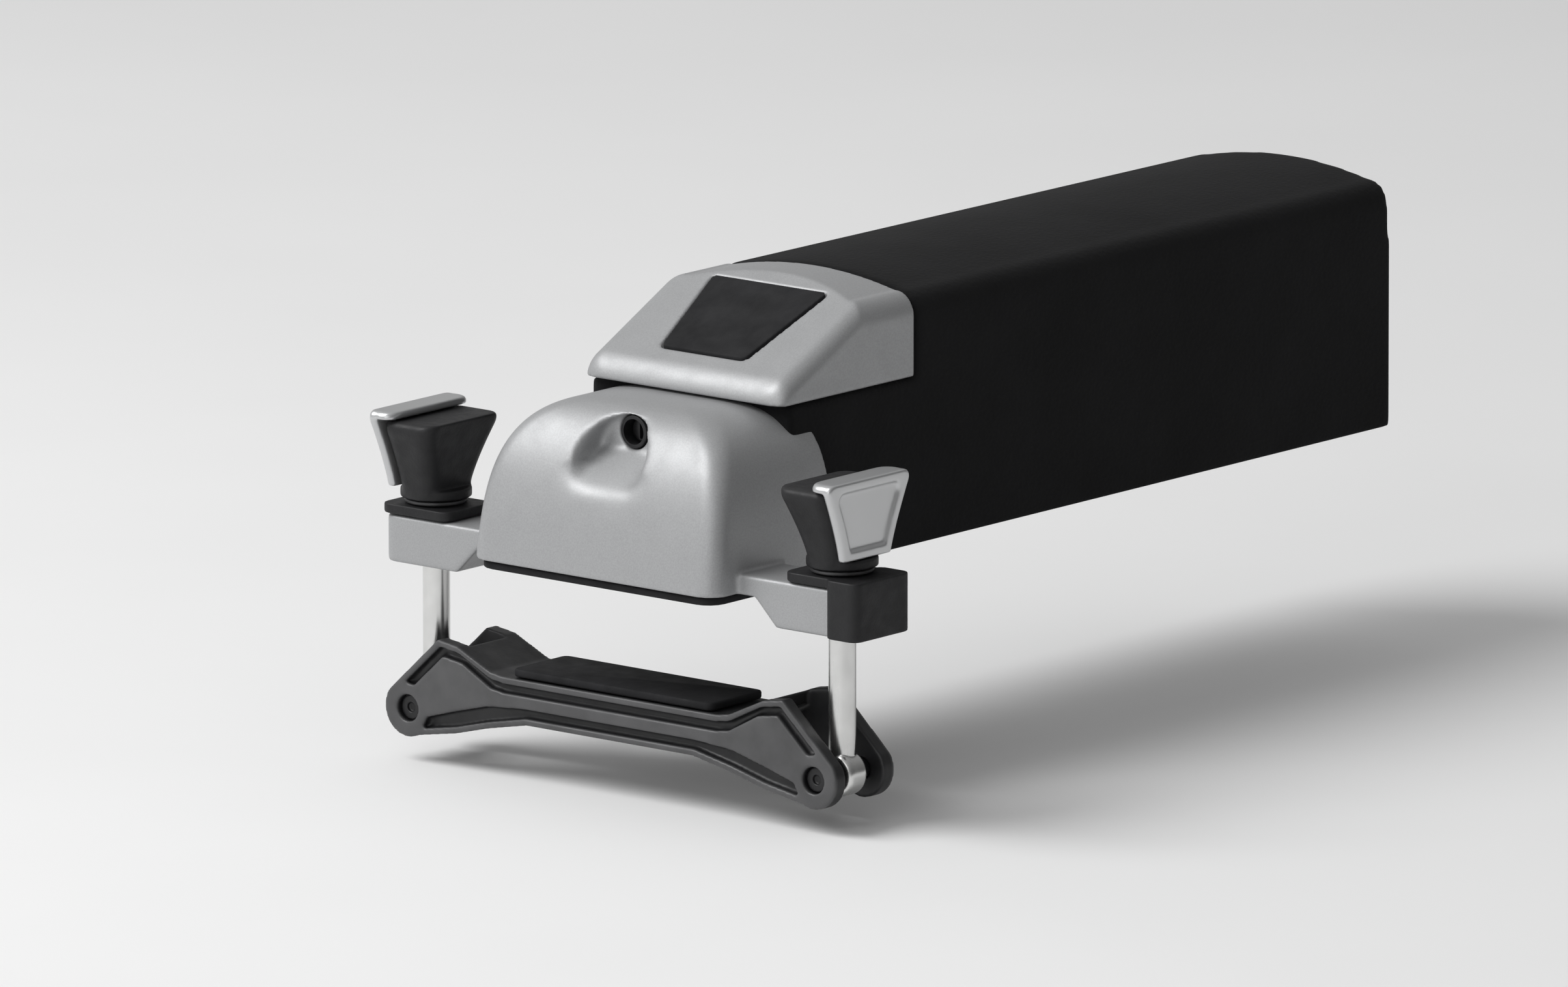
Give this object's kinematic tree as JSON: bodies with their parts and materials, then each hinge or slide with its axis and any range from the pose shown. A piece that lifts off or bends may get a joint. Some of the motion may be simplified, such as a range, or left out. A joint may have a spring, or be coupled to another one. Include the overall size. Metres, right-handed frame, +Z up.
{
  "type": "surfboard rack pad",
  "caption": "Board carrier pad that clamps on one end of a roof crossbar: domed locking housing, cushioned block with end cap, lower arm, eye bolts and wing knobs.",
  "frame": {"origin": "underside of the rubber seat, midway between the two eye bolts, which is the top of the crossbar under the clamp", "axes": "+X inboard along the crossbar, +Y rearward, +Z up"},
  "size_m": [0.2688, 0.149, 0.1113],
  "materials": {
    "silver_plastic": "satin silver-grey moulded plastic",
    "silver_cover": "metallised silver moulded plastic",
    "black_plastic": "fine-textured black moulded plastic",
    "rubber": "matte black rubber",
    "foam_rubber": "matte black skinned foam",
    "black_casting": "black satin coat on a casting",
    "steel": "bright zinc-plated steel",
    "dark_steel": "dark plated steel"
  },
  "bodies": {
    "carrier": {"dome_housing": "silver_plastic", "seat_rubber": "rubber", "bridge_plate": "steel", "lock_barrel": "steel", "pad_tray": "black_plastic", "pad_body": "foam_rubber", "end_cap": "silver_plastic", "cap_inset": "rubber", "cap_screw_front": "steel", "cap_screw_rear": "steel", "tray_screw_front": "steel", "tray_screw_rear": "steel", "knob_seat_front": "black_plastic", "knob_seat_rear": "black_plastic", "knob_washer_front": "steel", "knob_washer_rear": "steel"},
    "lock": {"lock_core": "dark_steel", "lock_tongue": "steel"},
    "clamp_arm": {"lower_arm": "black_casting", "arm_rubber": "rubber", "eye_bolt_front": "steel", "eye_bolt_rear": "steel", "arm_pin_front": "dark_steel", "arm_pin_rear": "dark_steel", "pin_clip_front": "dark_steel", "pin_clip_rear": "dark_steel"},
    "knob_front": {"knob_core_front": "black_plastic", "knob_nut_front": "steel", "knob_cover_front": "silver_cover"},
    "knob_rear": {"knob_core_rear": "black_plastic", "knob_nut_rear": "steel", "knob_cover_rear": "silver_cover"}
  },
  "joints": [
    {"name": "knob_front_turn", "type": "hinge", "parent": "carrier", "child": "knob_front", "pos_m": [0, -0.063, 0.0113], "axis": [0, 0, 1], "range_deg": [0, 2160]},
    {"name": "knob_rear_turn", "type": "hinge", "parent": "carrier", "child": "knob_rear", "pos_m": [0, 0.063, 0.0113], "axis": [0, 0, 1], "range_deg": [0, 2160]},
    {"name": "arm_drop", "type": "slide", "parent": "carrier", "child": "clamp_arm", "axis": [0, 0, -1], "range_m": [0, 0.006]},
    {"name": "lock_turn", "type": "hinge", "parent": "carrier", "child": "lock", "pos_m": [0, 0, 0.0352], "axis": [1, 0, 0], "range_deg": [0, 90]}
  ],
  "couplings": [
    {"joint": "knob_front_turn", "follows": "arm_drop", "rad_per_m": 6283.2},
    {"joint": "knob_rear_turn", "follows": "arm_drop", "rad_per_m": 6283.2}
  ]
}
